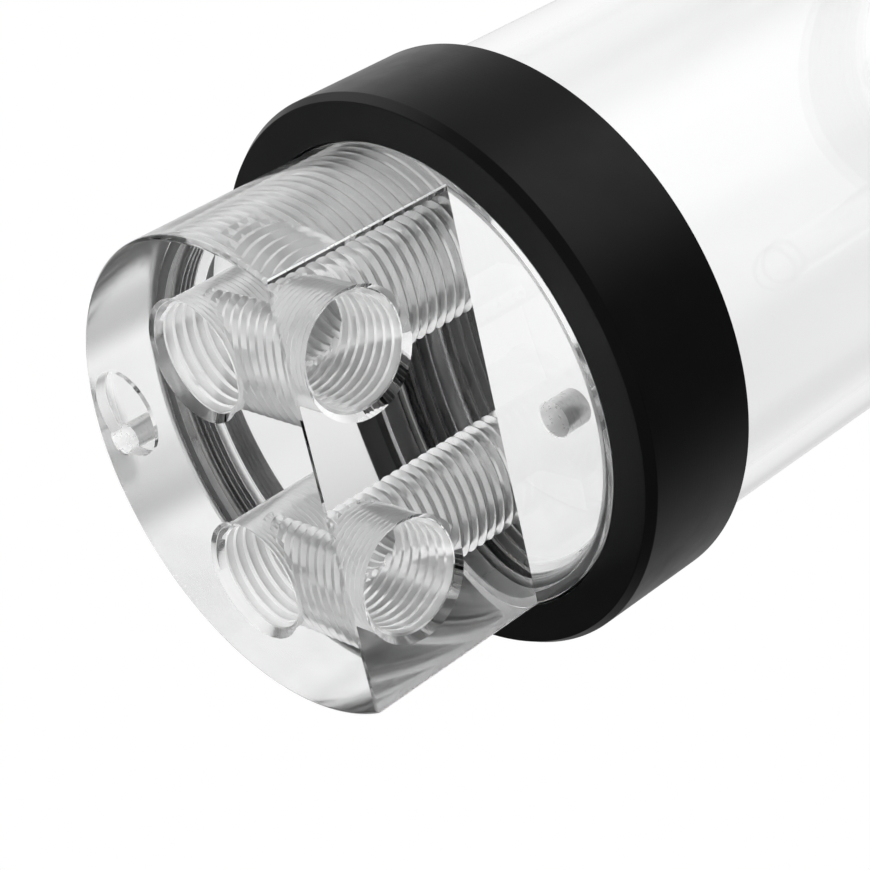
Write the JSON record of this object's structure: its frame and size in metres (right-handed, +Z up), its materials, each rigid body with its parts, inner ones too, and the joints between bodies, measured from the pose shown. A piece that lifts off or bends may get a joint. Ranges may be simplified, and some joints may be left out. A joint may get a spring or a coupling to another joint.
{
  "type": "coolant reservoir",
  "caption": "Tube coolant reservoir: clear tube bonded into black collars, clear port block with a flat screwed in below, clear cap with plugs on top.",
  "frame": {"origin": "centre of the reservoir's axis at the end face of the port block, which is the foot", "axes": "+Z up the axis from the port block to the top cap; -Y out of the port block's flat; X along the flat"},
  "size_m": [0.065, 0.065, 0.2043],
  "materials": {
    "clear_acrylic": "polished clear acrylic",
    "black_acetal": "satin black, turned",
    "black_rubber": "soft black",
    "white_ptfe": "plain white",
    "nickel_plate": "satin nickel plate"
  },
  "bodies": {
    "tank": {"tube": "clear_acrylic", "base_collar": "black_acetal", "top_collar": "black_acetal", "base_tube_gasket": "black_rubber", "top_tube_gasket": "black_rubber", "base_tube_oring": "black_rubber", "top_tube_oring": "black_rubber"},
    "port_block_seal": {"port_block_oring": "black_rubber", "port_block_washer": "white_ptfe"},
    "port_block": {"port_block": "clear_acrylic"},
    "top_cap_seal": {"top_cap_oring": "black_rubber", "top_cap_washer": "white_ptfe"},
    "top_cap": {"top_cap": "clear_acrylic", "inlet_adapter": "black_acetal", "inlet_adapter_oring": "black_rubber", "inlet_pipe": "clear_acrylic"},
    "fill_plug_seal": {"fill_plug_oring": "black_rubber"},
    "fill_plug": {"fill_plug": "nickel_plate"},
    "right_stop_plug_seal": {"right_stop_plug_oring": "black_rubber"},
    "right_stop_plug": {"right_stop_plug": "nickel_plate"},
    "left_stop_plug_seal": {"left_stop_plug_oring": "black_rubber"},
    "left_stop_plug": {"left_stop_plug": "nickel_plate"}
  },
  "joints": [
    {"name": "port_block_travel", "type": "slide", "parent": "tank", "child": "port_block_seal", "axis": [0, 0, -1], "range_m": [0, 0.005]},
    {"name": "port_block_turn", "type": "hinge", "parent": "port_block_seal", "child": "port_block", "pos_m": [0, 0, 0], "axis": [0, 0, -1], "range_deg": [0, 1200]},
    {"name": "top_cap_travel", "type": "slide", "parent": "tank", "child": "top_cap_seal", "axis": [0, 0, 1], "range_m": [0, 0.005]},
    {"name": "top_cap_turn", "type": "hinge", "parent": "top_cap_seal", "child": "top_cap", "pos_m": [0, 0, 0.1963], "axis": [0, 0, 1], "range_deg": [0, 1200]},
    {"name": "fill_plug_travel", "type": "slide", "parent": "top_cap", "child": "fill_plug_seal", "axis": [0, 0, 1], "range_m": [0, 0.006]},
    {"name": "fill_plug_turn", "type": "hinge", "parent": "fill_plug_seal", "child": "fill_plug", "pos_m": [0, -0.0145, 0.1963], "axis": [0, 0, 1], "range_deg": [0, 1615.56]},
    {"name": "right_stop_plug_travel", "type": "slide", "parent": "top_cap", "child": "right_stop_plug_seal", "axis": [0, 0, 1], "range_m": [0, 0.006]},
    {"name": "right_stop_plug_turn", "type": "hinge", "parent": "right_stop_plug_seal", "child": "right_stop_plug", "pos_m": [0.01256, 0.00725, 0.1963], "axis": [0, 0, 1], "range_deg": [0, 1615.56]},
    {"name": "left_stop_plug_travel", "type": "slide", "parent": "top_cap", "child": "left_stop_plug_seal", "axis": [0, 0, 1], "range_m": [0, 0.006]},
    {"name": "left_stop_plug_turn", "type": "hinge", "parent": "left_stop_plug_seal", "child": "left_stop_plug", "pos_m": [-0.01256, 0.00725, 0.1963], "axis": [0, 0, 1], "range_deg": [0, 1615.56]}
  ],
  "couplings": [
    {"joint": "port_block_travel", "follows": "port_block_turn", "m_per_rad": 0.00023873},
    {"joint": "top_cap_travel", "follows": "top_cap_turn", "m_per_rad": 0.00023873},
    {"joint": "fill_plug_travel", "follows": "fill_plug_turn", "m_per_rad": 0.00021279},
    {"joint": "right_stop_plug_travel", "follows": "right_stop_plug_turn", "m_per_rad": 0.00021279},
    {"joint": "left_stop_plug_travel", "follows": "left_stop_plug_turn", "m_per_rad": 0.00021279}
  ]
}
